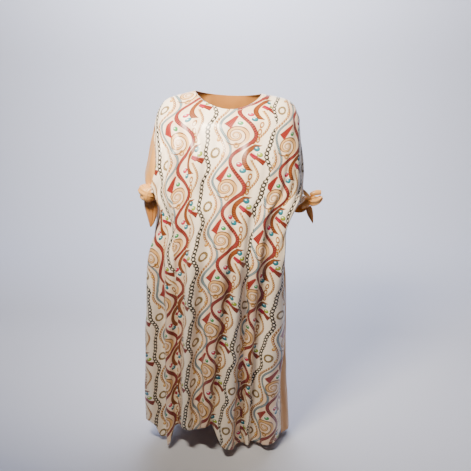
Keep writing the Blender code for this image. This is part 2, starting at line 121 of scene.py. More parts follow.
# The fold lines of each half panel, from its middle outwards, by turns a ridge and a valley: their bearings in
# degrees at the chest, at the cuffs and low on the robe, and the spare cloth in mm up to the next line.
FOLDS = {
    "front_left": (
        (1, -1, -12, 3, 8, 20),
        (-10, -12, -21.5, 3, 10, 26),
        (-18, -20, -28, 8, 17, 24),
        (-29, -31, -40, 8, 17, 24),
        (-37, -39, -46, 9, 18, 32),
        (-46, -48, -57, 9, 23, 36),
        (-52, -54, -76, 0, 0, 0),
    ),
    "front_right": (
        (1, -1, -12, 2, 8, 24),
        (5, 3.5, -7, 2, 8, 16),
        (10, 9, 0.5, 6, 14, 48),
        (18.4, 17, 12.5, 8, 14, 14),
        (27, 25, 19, 5, 14, 25),
        (36, 33, 24, 5, 16, 30),
        (55, 47, 41, 0, 0, 0),
    ),
    "back_right": (
        (180, 180, 180, 4, 10, 26),
        (170, 170, 168, 4, 10, 28),
        (160, 160, 156, 8, 14, 36),
        (150, 150, 143, 8, 14, 30),
        (140, 140, 131, 8, 14, 30),
        (129, 132, 118, 8, 14, 30),
        (116, 121, 104, 0, 0, 0),
    ),
    "back_left": (
        (180, 180, 180, 3, 8, 20),
        (190, 190, 190, 4, 10, 24),
        (198, 198, 199, 8, 14, 30),
        (209, 208, 211, 8, 14, 28),
        (219, 218, 222, 8, 14, 34),
        (231, 230, 235, 8, 14, 30),
        (246, 245, 249, 0, 0, 0),
    ),
}
# How far a fold's side may turn from the ring, in degrees.
TURN_COLUMNS = ("height", "turn")
TURNS = (
    (-0.10, 50),
    (-0.28, 38),
    (-0.38, 27),
    (-0.50, 31),
    (-0.64, 50),
    (-0.85, 68),
    (-1.47, 76),
)
EDGE_TURN = 44  # the same in the stretch beside the edge
# The hem's height by share of the half width.
HEM_COLUMNS = ("share", "height")
FRONT_HEM = (
    (-1.00, -1.375),
    (-0.86, -1.376),
    (-0.75, -1.364),
    (-0.71, -1.382),
    (-0.65, -1.445),
    (-0.49, -1.448),
    (-0.41, -1.368),
    (-0.26, -1.340),
    (-0.14, -1.364),
    (0.02, -1.318),
    (0.08, -1.326),
    (0.15, -1.398),
    (0.24, -1.422),
    (0.36, -1.446),
    (0.60, -1.446),
    (0.76, -1.430),
    (1.00, -1.420),
)
BACK_HEM = (
    (-1.00, -1.446),
    (-0.50, -1.448),
    (0.00, -1.450),
    (0.50, -1.440),
    (1.00, -1.375),
)

# Soft creases: where each starts and ends on the flat cloth (across, drop below the shoulder
# line), its half width and its depth in millimetres, a ridge being above zero.
CREASES = {
    "front": (
        (-0.245, 0.05, -0.275, 0.36, 9, -3.0),
        (-0.215, 0.08, -0.235, 0.40, 10, 3.0),
        (-0.190, 0.10, -0.200, 0.42, 9, -2.5),
        (-0.330, 0.24, -0.395, 0.38, 7, -3.0),
        (-0.290, 0.22, -0.380, 0.40, 8, 3.0),
        (-0.255, 0.25, -0.370, 0.43, 8, -2.5),
        (-0.205, 0.33, -0.350, 0.46, 10, 2.5),
        (0.265, 0.12, 0.300, 0.34, 9, -3.0),
        (0.235, 0.10, 0.250, 0.40, 11, 3.0),
        (0.205, 0.16, 0.190, 0.44, 10, -3.5),
        (0.400, 0.40, 0.300, 0.62, 13, 7.5),
        (0.385, 0.42, 0.240, 0.70, 12, -6.0),
        (0.370, 0.41, 0.210, 0.78, 12, 5.0),
        (0.318, 0.20, 0.350, 0.40, 9, -6.0),
        (0.298, 0.18, 0.322, 0.42, 8, 4.0),
        (0.345, 0.38, 0.190, 0.62, 12, 3.0),
        (0.395, 0.43, 0.340, 0.72, 9, -3.0),
        (0.070, 0.42, 0.080, 0.90, 12, -2.5),
        (0.020, 0.50, 0.010, 0.95, 13, 2.5),
        (-0.060, 0.45, -0.065, 0.88, 12, -2.5),
        (-0.110, 0.40, -0.120, 0.80, 11, 2.5),
        (-0.160, 0.55, -0.165, 1.05, 10, -2.5),
        (0.130, 0.60, 0.140, 1.20, 10, 2.0),
        (-0.030, 0.12, -0.020, 0.30, 16, -1.5),
        (0.060, 0.13, 0.055, 0.33, 15, 1.5),
        (-0.300, 0.80, -0.310, 1.30, 9, 2.5),
        (-0.420, 0.60, -0.430, 1.20, 9, -2.5),
    ),
    "back": (
        (-0.250, 0.06, -0.290, 0.36, 10, 3.0),
        (-0.200, 0.10, -0.215, 0.40, 11, -3.0),
        (-0.370, 0.36, -0.220, 0.50, 12, 3.5),
        (-0.390, 0.40, -0.290, 0.66, 11, -3.5),
        (-0.100, 0.08, -0.110, 0.36, 14, 2.0),
        (0.000, 0.06, 0.005, 0.34, 16, -2.0),
        (0.090, 0.09, 0.085, 0.38, 14, 2.0),
        (0.205, 0.08, 0.225, 0.38, 11, -3.0),
        (0.260, 0.06, 0.300, 0.34, 10, 3.0),
        (0.335, 0.20, 0.408, 0.355, 7, -5.0),
        (0.352, 0.24, 0.410, 0.350, 6, 4.0),
        (0.400, 0.36, 0.230, 0.46, 11, -3.5),
        (0.395, 0.40, 0.300, 0.62, 11, 3.5),
        (0.150, 0.50, 0.160, 1.10, 11, -2.5),
        (-0.150, 0.48, -0.165, 1.00, 11, 2.5),
        (0.020, 0.55, 0.015, 1.15, 12, 2.0),
        (-0.330, 0.80, -0.340, 1.25, 10, 2.5),
        (0.340, 0.70, 0.350, 1.20, 10, -2.5),
    ),
}
# Where the ties draw the sleeves' ends together: the place on the flat cloth by side, how many tucks fan out
# from it, how high they stand, how far they reach and how near the tie they start.
TIES = {"left": (-0.415, 0.368), "right": (0.415, 0.425)}
TUCKS, TUCK_HEIGHT, TUCK_REACH, TUCK_START = 13, 0.0050, 0.075, 0.02
CALM_BELOW_TOP, CALM_BESIDE_EDGE = 0.06, 0.012  # creases fade out towards the seams, over these widths

# The satin's small unevenness: how many waves, their length across and down, and their height.
RIPPLES, RIPPLE_ACROSS, RIPPLE_DOWN, RIPPLE_HEIGHT = 14, 0.055, 0.21, 0.0011

# The print's repeat, in millimetres. On the front its dark chain starts this far left of the middle, and leans
# away from it by these metres in each metre, first down to the chest's end and then more slowly.
REPEAT_ACROSS, REPEAT_DOWN = 215, 185
CHAIN_START, CHEST_END, CHEST_LEAN, LOW_LEAN = 0.042, 0.30, 0.20, 0.027
PRINT_WIDTH = ((0.35, 1.09), (0.55, 1.0))  # how much narrower it's drawn, by drop
# Deep tucks on each side hide a strip of the print: for each drop, where the tuck's line lies across, how much
# the print is moved outside it, and how much just inside it.
TUCK_COLUMNS = ("drop", "line", "outside", "inside")
LEFT_TUCK = (
    (0.36, -0.235, 0.000, 0.000),
    (0.47, -0.235, -0.060, 0.000),
    (0.58, -0.220, -0.080, 0.000),
    (0.66, -0.205, -0.130, 0.000),
    (0.75, -0.200, -0.180, 0.000),
    (0.90, -0.205, -0.187, 0.000),
)
RIGHT_TUCK = (
    (0.00, 0.150, -0.030, -0.040),
    (0.12, 0.140, 0.010, -0.010),
    (0.20, 0.135, 0.020, -0.010),
    (0.28, 0.127, 0.020, -0.022),
    (0.37, 0.120, 0.020, -0.022),
    (0.55, 0.127, 0.020, -0.022),
    (0.94, 0.176, 0.016, -0.022),
    (1.45, 0.244, 0.012, -0.016),
)
# How far down the first row of scrolls is, and how the rows sag towards the arms: by this slope, and level
# within this distance of their top, which lies this far left of the middle.
FIRST_ROW, ROW_SAG, SAG_LEVEL, SAG_TOP = 0.137, 0.25, 0.03, 0.02
SHIFT_START = 0.02  # from here to the right tuck's line, the print is moved more and more


# ---------------------------------------------------------------- the drape
def read(table, names, column, at):
    """A column's value where the first column is `at`, on a smooth curve that keeps between the rows."""
    rows = np.array(table)
    if rows[0, 0] > rows[-1, 0]:
        rows = rows[::-1]
    key, value = rows[:, 0], rows[:, names.index(column)]
    step = np.diff(key)
    rise = np.diff(value) / step
    same_way = rise[1:] * rise[:-1] > 0
    slope = np.zeros(len(key))
    slope[0], slope[-1] = rise[0], rise[-1]
    both = np.where(same_way, rise[1:] + rise[:-1], 1)
    slope[1:-1] = np.where(same_way, 2 * rise[1:] * rise[:-1] / both, 0)
    at = np.clip(at, key[0], key[-1])
    i = np.clip(np.searchsorted(key, at, side="right") - 1, 0, len(step) - 1)
    t = (at - key[i]) / step[i]
    ends = value[i] * (1 + 2 * t) * (1 - t) ** 2 + value[i + 1] * t * t * (3 - 2 * t)
    return ends + step[i] * t * (1 - t) * (slope[i] * (1 - t) - slope[i + 1] * t)


def fold_weights(height):
    """The shares of the fold tables' three heights at a height."""
    low = np.clip((CUFF - height) / (CUFF - LOW), 0, 1.3)
    up = np.clip((height - CUFF) / (CHEST - CUFF), 0, 1)
    return np.array([up, 1 - up - low, low])


SEAM_ACROSS = np.linspace(NECK_HALF_WIDTH, CUFF_HALF_WIDTH, 600)
SEAM_HEIGHTS = {
    side: read(SEAM, SEAM_COLUMNS, side + "_height", SEAM_ACROSS) for side in ("left", "right")
}
HALF_SAMPLES = 161  # points across half a panel
LEVEL_STEP = 0.005
LEVELS = np.arange(0.02, -1.50, -LEVEL_STEP)
SETTLING = 4  # levels over which a fold settles
# How much shorter a fold's side lies than its cloth, for each slope that it may have.
SLOPES = np.radians(np.linspace(0, 90, 61))
SLOPE_RATIOS = np.array([np.cos(slope * np.sin(np.linspace(0, math.pi, 181))).mean() for slope in SLOPES])


class Panel:
    """One cloth panel, laid on the drape as arrays of points."""

    def __init__(self, face, from_side, to_side, hem, neck_depth, neck_drop):
        self.face, self.sides, self.hem = face, (from_side, to_side), hem
        self.neck_depth, self.neck_drop = neck_depth, neck_drop
        self.outward = -1 if face == "front" else 1
        self.cloth = self.drape()

    def by_side(self, across, values):
        """For each point, the value of the side that it's on."""
        return np.where(across < 0, values[self.sides[0]], values[self.sides[1]])

    def half_width(self, side, height):
        hem = read(self.hem, HEM_COLUMNS, "height", -1 if side == self.sides[0] else 1)
        cuff = SEAM_HEIGHTS[side][-1]
        seam = np.interp(height, SEAM_HEIGHTS[side][::-1], SEAM_ACROSS[::-1])
        below = CUFF_HALF_WIDTH + (HEM_HALF_WIDTH - CUFF_HALF_WIDTH) * (height - cuff) / (hem - cuff)
        return np.where(height >= cuff, seam, below)

    def edge_bearing(self, side, height):
        seam = float(read(EDGES, EDGE_COLUMNS, side, height))
        opened = float(read(EDGES, EDGE_COLUMNS, f"{side}_{self.face}_open", height))
        return seam + opened * (1 if (side == "left") == (self.face == "front") else -1)

    def path(self, height):
        """This panel's stretch of the ring: points, outward directions, distances along it and bearings."""
        start, end = (self.edge_bearing(side, height) for side in self.sides)
        if self.face == "back":
            end += 360
        bearing = np.radians(np.linspace(start, end, 241))
        sine, cosine = np.sin(bearing), np.cos(bearing)
        left, right, front, back, squareness = (
            float(read(RING, RING_COLUMNS, name, height)) for name in RING_COLUMNS[1:]
        )
        power = 2 / squareness
        x = np.where(sine < 0, left, right) * np.sign(sine) * np.abs(sine) ** power
        y = -np.where(cosine > 0, front, back) * np.sign(cosine) * np.abs(cosine) ** power
        points = np.stack([x, y], axis=1)
        along = np.concatenate([[0], np.cumsum(np.linalg.norm(np.diff(points, axis=0), axis=1))])
        tangent = np.gradient(points, along, axis=0)
        tangent /= np.linalg.norm(tangent, axis=1)[:, None]
        outward = np.stack([tangent[:, 1], -tangent[:, 0]], axis=1)
        return points, outward, along, np.degrees(bearing)

    def half_section(self, side, height, path):
        """Outwards from the middle: the distance along the path and standing out, and where the middle is."""
        _, _, along, bearing = path
        wide = float(self.half_width(side, min(height, FULL_SECTION)))
        weight = fold_weights(height)
        folds = np.array(FOLDS[f"{self.face}_{side}"], float)
        lines = np.interp(folds[:, :3] @ weight, bearing, along)
        edge = along[-1] - SEAM_GAP / 2 if side == self.sides[1] else SEAM_GAP / 2
        middle = lines[0]
        room = abs(edge - middle)
        base = np.diff(np.minimum(np.abs(np.append(lines, edge) - middle), room))
        surplus = max(wide - room, 0)
        spare = folds[:, 3:] @ weight / 1000
        spare *= min(1, 0.85 * surplus / spare.sum())
        spare[-1] = surplus - spare.sum()
        cloth = base + spare
        steepest = math.radians(read(TURNS, TURN_COLUMNS, "turn", height))
        steepness = np.minimum(np.interp(base / cloth, SLOPE_RATIOS[::-1], SLOPES[::-1]), steepest)
        steepness[-1] = min(steepness[-1], math.radians(EDGE_TURN))
        cloth *= wide / cloth.sum()
        squeeze = base / cloth / np.interp(steepness, SLOPES, SLOPE_RATIOS)
        ends = np.concatenate([[0], np.cumsum(cloth)])
        across = np.linspace(0, wide, HALF_SAMPLES)
        centre = (across[1:] + across[:-1]) / 2
        line = np.clip(np.searchsorted(ends, centre, side="right") - 1, 0, len(cloth) - 1)
        between = (centre - ends[line]) / cloth[line]
        turn = steepness[line] * np.sin(math.pi * between) * np.where(line % 2, 1, -1)
        forward = np.concatenate([[0], np.cumsum(np.cos(turn) * squeeze[line])])
        out = np.concatenate([[0], np.cumsum(np.sin(turn))]) * across[1]
        return forward * room / forward[-1], out, middle

    def section(self, height):
        """World x and y round the whole panel at a height, at even shares of its two half widths."""
        path = self.path(height)
        points, outward, along, _ = path
        halves = [self.half_section(side, height, path) for side in self.sides]
        ridge = -(halves[0][1][-1] + halves[1][1][-1]) / 2
        share = np.linspace(0, 1, HALF_SAMPLES)
        spots = []
        for sign, (forward, out, middle) in zip((-1, 1), halves):
            at, stand = middle + sign * forward, ridge + out - (ridge + out[-1]) * share
            spot = [np.interp(at, along, points[:, axis]) for axis in (0, 1)]
            away = [np.interp(at, along, outward[:, axis]) for axis in (0, 1)]
            spots.append((np.stack(spot, axis=1) + stand[:, None] * np.stack(away, axis=1))[::sign])
        return np.concatenate([spots[0][:-1], spots[1]])

    def drape(self):
        sections = np.array([self.section(level) for level in LEVELS])
        reach = 3 * SETTLING
        weights = np.exp(-((np.arange(-reach, reach + 1) / SETTLING) ** 2) / 2)
        padded = np.concatenate([sections[:1]] * reach + [sections] + [sections[-1:]] * reach)
        settled = sum(weight * padded[i : i + len(sections)] for i, weight in enumerate(weights))
        return settled / weights.sum()

    def draped(self, across, height):
        """World x and y of the cloth, where the robe goes all the way round."""
        full = np.minimum(height, FULL_SECTION)
        wide = self.by_side(across, {side: self.half_width(side, full) for side in self.sides})
        column = (np.clip(across / wide, -1, 1) + 1) * (HALF_SAMPLES - 1)
        level = np.clip((LEVELS[0] - height) / LEVEL_STEP, 0, len(LEVELS) - 1)
        i = np.minimum(level.astype(int), len(LEVELS) - 2)
        j = np.minimum(column.astype(int), 2 * HALF_SAMPLES - 3)
        down, over = (level - i)[..., None], (column - j)[..., None]
        upper = self.cloth[i, j] * (1 - over) + self.cloth[i, j + 1] * over
        lower = self.cloth[i + 1, j] * (1 - over) + self.cloth[i + 1, j + 1] * over
        return upper * (1 - down) + lower * down

    def top_edge(self, across):
        """World x, y and z of the neckline and the seam."""
        reach = np.abs(across)
        side_sign = self.by_side(across, {"left": -1, "right": 1})
        dip = np.maximum(1 - (reach / NECK_HALF_WIDTH) ** 2, 0) ** 0.75
        left, right = (SEAM[0][SEAM_COLUMNS.index(name)] for name in ("left_height", "right_height"))
        tilt = (side_sign * reach / NECK_HALF_WIDTH + 1) / 2
        neck_z = left + (right - left) * tilt - self.neck_drop * dip
        neck_y = self.outward * (self.neck_depth * dip + SEAM_GAP / 2)
        seams = {side: np.interp(reach, SEAM_ACROSS, SEAM_HEIGHTS[side]) for side in self.sides}
        seam_z = self.by_side(across, seams)
        ease = {}
        for side in self.sides:
            last = float(self.half_width(side, FULL_SECTION))
            ring_reach = float(read(RING, RING_COLUMNS, side, FULL_SECTION))
            stretch = ring_reach / read(SEAM, SEAM_COLUMNS, "reach", last)
            ease[side] = np.interp(reach, (NECK_HALF_WIDTH, last), (1, stretch))
        seam_x = side_sign * read(SEAM, SEAM_COLUMNS, "reach", reach) * self.by_side(across, ease)
        ring = self.draped(across, seam_z)
        neck, arm = reach <= NECK_HALF_WIDTH, seam_z <= FULL_SECTION
        x = np.where(neck, side_sign * reach, np.where(arm, ring[..., 0], seam_x))
        y = np.where(neck, neck_y, np.where(arm, ring[..., 1], self.outward * SEAM_GAP / 2))
        return x, y, np.where(neck, neck_z, seam_z)

    def lay(self, share, down):
        """World points, distance across and height for a grid of shares of the half width and of the length."""
        top_across = share * CUFF_HALF_WIDTH
        x, y, top = self.top_edge(top_across)
        even = np.interp(np.abs(top_across), (0.225, 0.30), (0, 1))
        down = (down**1.35)[:, None] * (1 - even) + down[:, None] * even
        height = top + (read(self.hem, HEM_COLUMNS, "height", share) - top) * down
        across = top_across + (share * HEM_HALF_WIDTH - top_across) * down
        ring = self.draped(across, height)
        fallen = np.clip((top - height) / np.maximum(top - FULL_SECTION, 1e-6), 0, 1)
        level, sloping = np.sqrt(fallen * (2 - fallen)), fallen * (2 - fallen)
        shoulder = np.minimum(np.abs(top_across) / NECK_HALF_WIDTH, 1)
        gone = np.where(height <= FULL_SECTION, 1, sloping + (level - sloping) * shoulder)
        start = np.stack(np.broadcast_arrays(x, y), axis=-1)
        spot = start + (ring - start) * gone[..., None]
        points = np.concatenate([spot, height[..., None]], axis=-1)
        points[0] = np.stack([x, y, top], axis=-1)
        return points, across


def outward_normals(points, outward):
    """The directions that the grid faces, on the side of `outward` along y."""
    normal = np.cross(np.gradient(points, axis=1), np.gradient(points, axis=0))
    normal /= np.linalg.norm(normal, axis=-1)[..., None] + 1e-12
    return normal if (normal[..., 1] * outward).sum() > 0 else -normal


def crease(points, across, drop, face):
    """Moves the cloth in and out along the creases of one face, and by the satin's own small waves."""
    stand = np.zeros(across.shape)
    for a0, d0, a1, d1, half_width, depth in CREASES[face]:
        run = np.array([a1 - a0, d1 - d0])
        share = np.clip(((across - a0) * run[0] + (drop - d0) * run[1]) / (run @ run), 0, 1)
        away = np.hypot(across - a0 - share * run[0], drop - d0 - share * run[1])
        fade = np.clip(np.sin(math.pi * share), 0, 1) ** 0.7
        stand += depth / 1000 * fade * np.exp(-((away / (half_width / 1000)) ** 2))
    rng = np.random.default_rng(11 if face == "front" else 23)
    for _ in range(RIPPLES):
        waves_across = rng.uniform(0.5, 1.5) / RIPPLE_ACROSS
        waves_down = rng.uniform(-1, 1) / RIPPLE_DOWN
        phase = 2 * math.pi * (across * waves_across + drop * waves_down + rng.random())
        stand += RIPPLE_HEIGHT / 3 * np.sin(phase)
    for tie_across, tie_drop in TIES.values():
        over = across - (tie_across if face == "front" else -tie_across)
        down = drop - tie_drop
        away, bearing = np.hypot(over, down), np.arctan2(down, over)
        uneven = np.sin(TUCKS * bearing + 2.5 * np.sin(2 * bearing + tie_drop * 9))
        stand += TUCK_HEIGHT * uneven * np.exp(-away / TUCK_REACH) * np.clip(away / TUCK_START, 0, 1)
    stand *= np.clip(drop / CALM_BELOW_TOP, 0, 1)
    stand *= np.clip((np.abs(across).max(axis=1)[:, None] - np.abs(across)) / CALM_BESIDE_EDGE, 0, 1)
    return points + outward_normals(points, -1 if face == "front" else 1) * stand[..., None]


def cloth_drop(points, run):
    """How far each point is below the shoulder line, measured along the cloth where it slopes."""
    height = points[..., 2]
    level = np.argmax(height <= FULL_SECTION, axis=0)
    columns = np.arange(height.shape[1])
    sloped = -height[level, columns] - (run[level, columns] - run)
    return np.where(height > FULL_SECTION, sloped, -height)


def tuck_value(table, column, drop):
    """A column of a tuck's table, on straight lines between its rows."""
    rows = np.array(table)
    return np.interp(drop, rows[:, 0], rows[:, TUCK_COLUMNS.index(column)])


def outside_tucks(across, drop):
    """Which points lie between a tuck's line and the side."""
    return (across < tuck_value(LEFT_TUCK, "line", drop)) | (across > tuck_value(RIGHT_TUCK, "line", drop))


def print_place(across, drop, outside):
    """Where points lie on the print, for cloth on one side or the other of the tucks' lines."""
    chain = -CHAIN_START - CHEST_LEAN * np.minimum(drop, CHEST_END) - LOW_LEAN * np.maximum(drop - CHEST_END, 0)
    column = "outside" if outside else "inside"
    line = tuck_value(RIGHT_TUCK, "line", drop)
    near = 1 if outside else np.clip((across - SHIFT_START) / (line - SHIFT_START), 0, 1)
    moved_right = near * tuck_value(RIGHT_TUCK, column, drop)
    place = across + np.where(across < 0, tuck_value(LEFT_TUCK, column, drop), moved_right)
    sag = ROW_SAG * (np.hypot(place + SAG_TOP, SAG_LEVEL) - SAG_LEVEL)
    return (place - chain) * np.interp(drop, *np.array(PRINT_WIDTH).T), drop - sag - FIRST_ROW


def cloth_object(bm, name, node, skins, walled):
    """The object of a finished bmesh. A walled one is a sheet, and gets the satin's thickness."""
    mesh = bpy.data.meshes.new(name)
    bm.to_mesh(mesh)
    bm.free()
    mesh.shade_smooth()
    for skin in skins:
        mesh.materials.append(skin)
    made = bpy.data.objects.new(name, mesh)
    bpy.context.scene.collection.objects.link(made)
    if walled:
        wall = made.modifiers.new("cloth", "SOLIDIFY")
        wall.thickness = CLOTH
        wall.offset = -1
        wall.material_offset = len(skins) - 1
    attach(made, "root")
    if node:
        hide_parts(node)
    return made


def make_panel(name, node, panel, skins):
    """The cloth's grid, laid on the drape, with its place on the print and at its edges in its UV maps."""
    share, down = np.linspace(-1, 1, COLUMNS + 1), np.linspace(0, 1, ROWS + 1)
    points, across = panel.lay(share, down)
    step = np.linalg.norm(np.diff(points, axis=0), axis=-1)
    run = np.concatenate([np.zeros((1, COLUMNS + 1)), np.cumsum(step, axis=0)])
    drop = cloth_drop(points, run)
    printed_places = [print_place(across, drop, outside) for outside in (False, True)]
    past_tuck = outside_tucks(across, drop)
    points = crease(points, across, drop, panel.face)
    to_side = (1 - np.abs(share)) * (CUFF_HALF_WIDTH + HEM_HALF_WIDTH) / 2
    to_hem = run[-1][None, :] - run
    bm = bmesh.new()
    bmesh.ops.create_grid(bm, x_segments=COLUMNS, y_segments=ROWS, size=1)
    print_map, border_map, collar_map = (bm.loops.layers.uv.new(key) for key in ("print", "border", "collar"))
    cells = {v.index: (round((1 - v.co.y) / 2 * ROWS), round((v.co.x + 1) / 2 * COLUMNS)) for v in bm.verts}
    for vertex in bm.verts:
        vertex.co = Vector(points[cells[vertex.index]])
    for face in bm.faces:
        corner = min(cells[vertex.index] for vertex in face.verts)
        print_across, print_down = printed_places[int(past_tuck[corner])]
        for loop in face.loops:
            cell = cells[loop.vert.index]
            loop[print_map].uv = (print_across[cell], print_down[cell])
            loop[border_map].uv = (to_side[cell[1]], to_hem[cell])
            loop[collar_map].uv = (run[cell], abs(share[cell[1]]) * CUFF_HALF_WIDTH)
    if sum(face.normal.y * face.calc_area() for face in bm.faces) * panel.outward < 0:
        bmesh.ops.reverse_faces(bm, faces=bm.faces)
    made = cloth_object(bm, name, node, skins, walled=True)


# ---------------------------------------------------------------- materials
def linear_colour(code):
    """An sRGB hex colour as linear red, green, blue and alpha."""
    parts = [int(code[i : i + 2], 16) / 255 for i in (1, 3, 5)]
    return (*[part / 12.92 if part <= 0.04045 else ((part + 0.055) / 1.055) ** 2.4 for part in parts], 1)


def add_node(tree, kind, inputs=None, **settings):
    """Adds a node, with its settings, and its inputs as values or as links from other nodes' sockets."""
    made = tree.nodes.new(kind)
    for name, value in settings.items():
        setattr(made, name, value)
    for key, value in (inputs or {}).items():
        if isinstance(value, bpy.types.NodeSocket):
            tree.links.new(value, made.inputs[key])
        else:
            made.inputs[key].default_value = value
    return made


OPERATIONS = {
    ast.Add: "ADD", ast.Sub: "SUBTRACT", ast.Mult: "MULTIPLY", ast.Div: "DIVIDE", ast.Pow: "POWER",
    "sin": "SINE", "cos": "COSINE", "atan2": "ARCTAN2", "abs": "ABSOLUTE", "min": "MINIMUM", "max": "MAXIMUM",
    "sqrt": "SQRT", "log": "LOGARITHM", "less": "LESS_THAN", "wrap": "WRAP",
}  # fmt: skip


def formula(tree, text, **known):
    """Math nodes for a formula. A name is one of the known sockets or numbers."""

    def build(part):
        if isinstance(part, ast.Constant):
            return part.value
        if isinstance(part, ast.Name):
            return known[part.id]
        if isinstance(part, ast.UnaryOp):
            operation, parts = "MULTIPLY", [build(part.operand), -1]
        elif isinstance(part, ast.BinOp):
            operation, parts = OPERATIONS[type(part.op)], [build(part.left), build(part.right)]
        else:
            operation, parts = OPERATIONS[part.func.id], [build(each) for each in part.args]
        return add_node(tree, "ShaderNodeMath", dict(enumerate(parts)), operation=operation).outputs[0]

    return build(ast.parse(text).body[0].value)


def new_material(name):
    """A material, its node tree and its shader."""
    made = bpy.data.materials.new(name)
    made.use_nodes = True
    return made, made.node_tree, made.node_tree.nodes["Principled BSDF"]


def mixed(tree, share, first, second):
    """One colour over another, by a share from 0 to 1. Each is a hex colour or a socket."""
    inks = [linear_colour(ink) if isinstance(ink, str) else ink for ink in (first, second)]
    return add_node(tree, "ShaderNodeMix", {0: share, 6: inks[0], 7: inks[1]}, data_type="RGBA").outputs[2]


# Sizes in the satin, in millimetres. Its threads are drawn coarser than the real 0.1, so that they show at all.
THREAD, CRINKLE, CLOUD = 0.3, 26.3, 111.0
STITCH, STITCH_GAP = 2.3, 0.7
HEM_TURN, SIDE_TURN, NECK_TURN = 14, 11, 8  # how far in from each edge its hem is stitched


def satin(tree, shader, colour):
    """Polyester satin's finish. Its long bright floats give a soft gloss, drawn out along the weave, a bloom at
    grazing angles, and small crinkles that break up the light."""
    tree.links.new(colour, shader.inputs["Base Color"])
    finish = {"Roughness": 0.34, "Sheen Weight": 0.2, "Sheen Roughness": 0.35, "Anisotropic": 0.35}
    for name, value in finish.items():
        shader.inputs[name].default_value = value
    spot = add_node(tree, "ShaderNodeTexCoord").outputs["Object"]
    crinkles = add_node(tree, "ShaderNodeTexNoise", {"Vector": spot, "Scale": 1000 / CRINKLE, "Detail": 4.0})
    bands = 1000 * 2 * math.pi / 20 / THREAD  # a wave texture has 20 / (2 pi) bands to a unit
    weave = add_node(tree, "ShaderNodeTexWave", {"Vector": spot, "Scale": bands, "Distortion": 0.5})
    height = formula(tree, "crinkle + 0.05 * weave", crinkle=crinkles.outputs[0], weave=weave.outputs["Fac"])
    bump = add_node(tree, "ShaderNodeBump", {"Strength": 0.35, "Distance": 0.0012, "Height": height})
    tree.links.new(bump.outputs[0], shader.inputs["Normal"])


def stitched(tree, colour, thread, shade):
    """The turned hems along the bottom, the sides and the neck: a line of painted shade along the fold's inner
    edge, and a row of stitches.
    """
    known = {}
    for key, names in (("border", ("side", "hem")), ("collar", ("top", "along"))):
        place = add_node(tree, "ShaderNodeUVMap", uv_map=key).outputs["UV"]
        axes = add_node(tree, "ShaderNodeSeparateXYZ", {"Vector": place})
        known.update({name: formula(tree, "1000 * x", x=axes.outputs[i]) for i, name in enumerate(names)})
    neck = f" * less(along, {1000 * NECK_HALF_WIDTH})"
    half = (STITCH + STITCH_GAP) / 2
    hems = (("hem", HEM_TURN, "side", ""), ("side", SIDE_TURN, "hem", ""), ("top", NECK_TURN, "along", neck))
    for edge, inset, run, where in hems:
        # painted shade: a darker line where each hem's turned fold lies
        fold = formula(tree, f"0.5 * less(abs({edge} - {inset + 1.5}), 0.6)" + where, **known)
        stitches = f"less(abs({edge} - {inset}), 0.45) * less(wrap({run}, {half}, {-half}), {STITCH - half})"
        row = formula(tree, stitches + where, **known)
        colour = mixed(tree, row, mixed(tree, fold, colour, shade), thread)
    return colour


def plain_satin(name, colours, hems=None):
    """Piece-dyed satin, a little cloudy where the dye took unevenly. `hems` are its thread's colour and the
    colour of the painted shade along each hem's fold.
    """
    made, tree, shader = new_material(name)
    spot = add_node(tree, "ShaderNodeTexCoord").outputs["Object"]
    cloud = add_node(tree, "ShaderNodeTexNoise", {"Vector": spot, "Scale": 1000 / CLOUD, "Detail": 3.0})
    colour = mixed(tree, cloud.outputs[0], *colours)
    satin(tree, shader, stitched(tree, colour, *hems) if hems else colour)
    return made


# ---------------------------------------------------------------- the print
TURN = 2 * math.pi / REPEAT_DOWN


def beside(centre):
    """Millimetres across from a line of the print, in the nearest repeat."""
    return f"wrap(s - ({centre}), {REPEAT_ACROSS / 2}, {-REPEAT_ACROSS / 2})"


def below(centre):
    """Millimetres down from a height of the print, in the nearest repeat."""
    return f"wrap(t - ({centre}), {REPEAT_DOWN / 2}, {-REPEAT_DOWN / 2})"


# Stones: millimetres across and down, half width, half height, colour and shade.
STONES = (
    (126, 97, 10.0, 8.6, "#CC2F52", "#861431"),
    (141, 117, 10.2, 8.6, "#1F7F92", "#0C4452"),
    (100, 140, 9.4, 7.8, "#469A53", "#1E5A30"),
    (-44, 34, 10.0, 9.0, "#1F7888", "#0D424F"),
    (-31, 52, 10.2, 8.4, "#9DAE38", "#5F6E18"),
)
# Warmer grounds that run down behind the motifs: the middle, half width, fade, strength and colour.
GROUNDS = (("112", 54, 10, 0.75, "#EDC9A8"), ("-52", 24, 8, 0.6, "#F0D8B2"))
DARK_CHAIN = "9 * cos((t - 118) * turn) + 4 * cos((t - 14) * 2 * turn)"
DARK_LINK, GOLD_LINK, FINE_LINK = (REPEAT_DOWN / links for links in (13, 19, 22))


def sway(middle, reach, top):
    """A line that swings once in each repeat, furthest across at `top`: its distance across and its slope."""
    return f"{middle} + {reach} * cos((t - {top}) * turn)", f"{reach} * turn * sin((t - {top}) * turn)"


